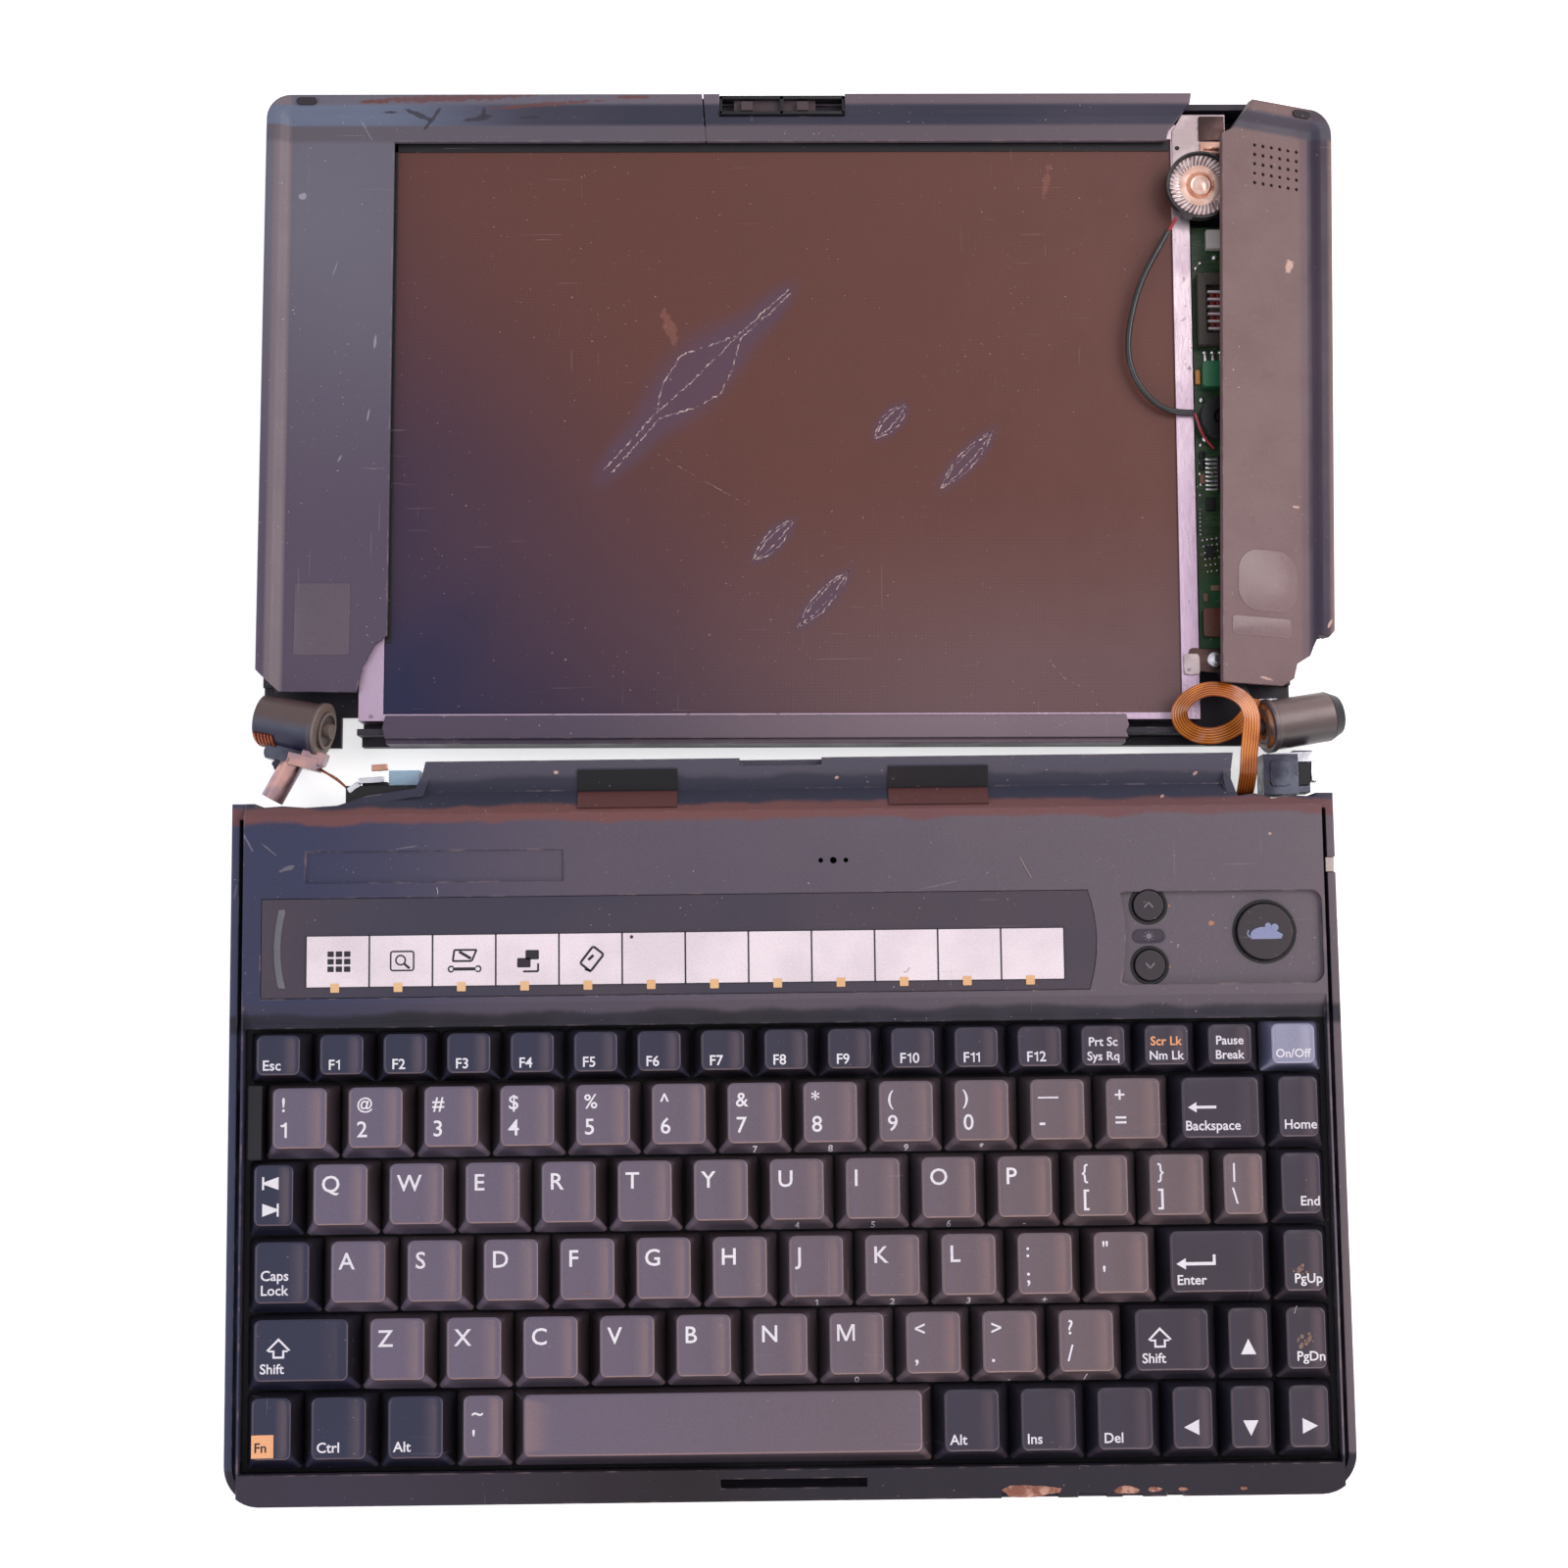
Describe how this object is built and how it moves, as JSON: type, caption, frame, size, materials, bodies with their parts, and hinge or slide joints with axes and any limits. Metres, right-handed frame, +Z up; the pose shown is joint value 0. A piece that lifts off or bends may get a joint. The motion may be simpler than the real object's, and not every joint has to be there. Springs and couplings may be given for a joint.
{
  "type": "broken laptop",
  "caption": "Old compact clamshell laptop broken at both hinges: keyboard base with the lid lying open flat behind it, bezel torn, screen and speaker bared.",
  "frame": {"origin": "middle of the whole object's bounding box in plan, at the table", "axes": "+X to the keyboard's right, +Y from the base's front edge to the lid's far edge, +Z up"},
  "size_m": [0.2919, 0.3676, 0.0265],
  "materials": {
    "housing": "satin moulded plastic, scuffed and dusty",
    "letter_caps": "matte moulded caps with pale printed legends",
    "modifier_caps": "matte moulded caps with pale printed legends",
    "dark_plastic": "matte",
    "black_plastic": "glossy",
    "rubber": "matte",
    "bright_metal": "bare sheet metal, lightly stained",
    "steel": "machined",
    "circuit_board": "green solder mask",
    "label": "printed card behind a clear film",
    "label_window": "dark glossy film",
    "screen": "dark polariser film, scuffed",
    "flex": "amber film",
    "pale_connector": "moulded",
    "blue_plastic": "moulded",
    "speaker_film": "clear film over a copper coil",
    "wire": "soft sleeve",
    "red_wire": "thin insulated wire"
  },
  "bodies": {
    "chassis": {"base_tray": "housing", "base_top_cover": "housing", "keyboard_plate": "dark_plastic", "key_filler": "modifier_caps", "mainboard": "circuit_board", "battery_pack": "dark_plastic", "hard_drive": "bright_metal", "card_cage": "bright_metal", "label_panel": "label_window", "label_card": "label", "rubber_feet": "rubber", "base_screws": "steel", "rear_connectors": "black_plastic", "blue_connector": "blue_plastic", "status_light": "pale_connector", "glossy_pads": "black_plastic", "hinge_arm_left": "bright_metal", "hinge_barrel_left": "dark_plastic", "hinge_spring_left": "steel", "hinge_arm_right": "bright_metal", "hinge_barrel_right": "dark_plastic", "hinge_cap_right": "black_plastic", "flex_ribbon": "flex", "lid_back": "housing", "bezel_main": "housing", "bezel_lower_strip": "housing", "bezel_side_piece": "housing", "lcd_frame": "bright_metal", "lcd_panel": "screen", "corner_bracket": "bright_metal", "inverter_board": "circuit_board", "transformer": "black_plastic", "film_capacitors": "circuit_board", "choke_coil": "black_plastic", "board_connector": "pale_connector", "board_chips": "black_plastic", "speaker_body": "black_plastic", "speaker_membrane": "speaker_film", "wire_sleeve": "wire", "wire_ends": "red_wire", "lid_bumpers": "rubber"},
    "function_row_keys_body": {"function_row_keys": "modifier_caps"},
    "number_row_keys_body": {"number_row_keys": "letter_caps"},
    "backspace_key_body": {"backspace_key": "modifier_caps"},
    "paging_keys_body": {"paging_keys": "modifier_caps"},
    "tab_key_body": {"tab_key": "modifier_caps"},
    "top_letter_keys_body": {"top_letter_keys": "letter_caps"},
    "caps_lock_key_body": {"caps_lock_key": "modifier_caps"},
    "home_letter_keys_body": {"home_letter_keys": "letter_caps"},
    "enter_key_body": {"enter_key": "modifier_caps"},
    "left_shift_key_body": {"left_shift_key": "modifier_caps"},
    "bottom_letter_keys_body": {"bottom_letter_keys": "letter_caps"},
    "right_shift_key_body": {"right_shift_key": "modifier_caps"},
    "arrow_keys_body": {"arrow_keys": "modifier_caps"},
    "modifier_keys_body": {"modifier_keys": "modifier_caps"},
    "space_bar_body": {"space_bar": "letter_caps"},
    "brightness_up_button_body": {"brightness_up_button": "housing"},
    "brightness_down_button_body": {"brightness_down_button": "housing"},
    "eject_button_body": {"eject_button": "housing"},
    "lid_latch_body": {"lid_latch": "housing"}
  },
  "joints": [
    {"name": "function_row_keys_press", "type": "slide", "parent": "chassis", "child": "function_row_keys_body", "axis": [0, 0, 1], "range_m": [-0.003, 0], "stiffness_N_per_m": 2550, "springref_m": 0.0012},
    {"name": "number_row_keys_press", "type": "slide", "parent": "chassis", "child": "number_row_keys_body", "axis": [0, 0, 1], "range_m": [-0.003, 0], "stiffness_N_per_m": 1800, "springref_m": 0.0012},
    {"name": "backspace_key_press", "type": "slide", "parent": "chassis", "child": "backspace_key_body", "axis": [0, 0, 1], "range_m": [-0.003, 0], "stiffness_N_per_m": 150, "springref_m": 0.0012},
    {"name": "paging_keys_press", "type": "slide", "parent": "chassis", "child": "paging_keys_body", "axis": [0, 0, 1], "range_m": [-0.003, 0], "stiffness_N_per_m": 600, "springref_m": 0.0012},
    {"name": "tab_key_press", "type": "slide", "parent": "chassis", "child": "tab_key_body", "axis": [0, 0, 1], "range_m": [-0.003, 0], "stiffness_N_per_m": 150, "springref_m": 0.0012},
    {"name": "top_letter_keys_press", "type": "slide", "parent": "chassis", "child": "top_letter_keys_body", "axis": [0, 0, 1], "range_m": [-0.003, 0], "stiffness_N_per_m": 1950, "springref_m": 0.0012},
    {"name": "caps_lock_key_press", "type": "slide", "parent": "chassis", "child": "caps_lock_key_body", "axis": [0, 0, 1], "range_m": [-0.003, 0], "stiffness_N_per_m": 150, "springref_m": 0.0012},
    {"name": "home_letter_keys_press", "type": "slide", "parent": "chassis", "child": "home_letter_keys_body", "axis": [0, 0, 1], "range_m": [-0.003, 0], "stiffness_N_per_m": 1650, "springref_m": 0.0012},
    {"name": "enter_key_press", "type": "slide", "parent": "chassis", "child": "enter_key_body", "axis": [0, 0, 1], "range_m": [-0.003, 0], "stiffness_N_per_m": 150, "springref_m": 0.0012},
    {"name": "left_shift_key_press", "type": "slide", "parent": "chassis", "child": "left_shift_key_body", "axis": [0, 0, 1], "range_m": [-0.003, 0], "stiffness_N_per_m": 150, "springref_m": 0.0012},
    {"name": "bottom_letter_keys_press", "type": "slide", "parent": "chassis", "child": "bottom_letter_keys_body", "axis": [0, 0, 1], "range_m": [-0.003, 0], "stiffness_N_per_m": 1500, "springref_m": 0.0012},
    {"name": "right_shift_key_press", "type": "slide", "parent": "chassis", "child": "right_shift_key_body", "axis": [0, 0, 1], "range_m": [-0.003, 0], "stiffness_N_per_m": 150, "springref_m": 0.0012},
    {"name": "arrow_keys_press", "type": "slide", "parent": "chassis", "child": "arrow_keys_body", "axis": [0, 0, 1], "range_m": [-0.003, 0], "stiffness_N_per_m": 600, "springref_m": 0.0012},
    {"name": "modifier_keys_press", "type": "slide", "parent": "chassis", "child": "modifier_keys_body", "axis": [0, 0, 1], "range_m": [-0.003, 0], "stiffness_N_per_m": 1050, "springref_m": 0.0012},
    {"name": "space_bar_press", "type": "slide", "parent": "chassis", "child": "space_bar_body", "axis": [0, 0, 1], "range_m": [-0.003, 0], "stiffness_N_per_m": 150, "springref_m": 0.0012},
    {"name": "brightness_up_button_press", "type": "slide", "parent": "chassis", "child": "brightness_up_button_body", "axis": [0, 0, 1], "range_m": [-0.001, 0], "stiffness_N_per_m": 400, "springref_m": 0.0006},
    {"name": "brightness_down_button_press", "type": "slide", "parent": "chassis", "child": "brightness_down_button_body", "axis": [0, 0, 1], "range_m": [-0.001, 0], "stiffness_N_per_m": 400, "springref_m": 0.0006},
    {"name": "eject_button_press", "type": "slide", "parent": "chassis", "child": "eject_button_body", "axis": [0, 0, 1], "range_m": [-0.0012, 0], "stiffness_N_per_m": 400, "springref_m": 0.0006},
    {"name": "lid_latch_slide", "type": "slide", "parent": "chassis", "child": "lid_latch_body", "axis": [1, -0.0087, 0], "range_m": [0, 0.004], "stiffness_N_per_m": 150, "springref_m": -0.001}
  ]
}
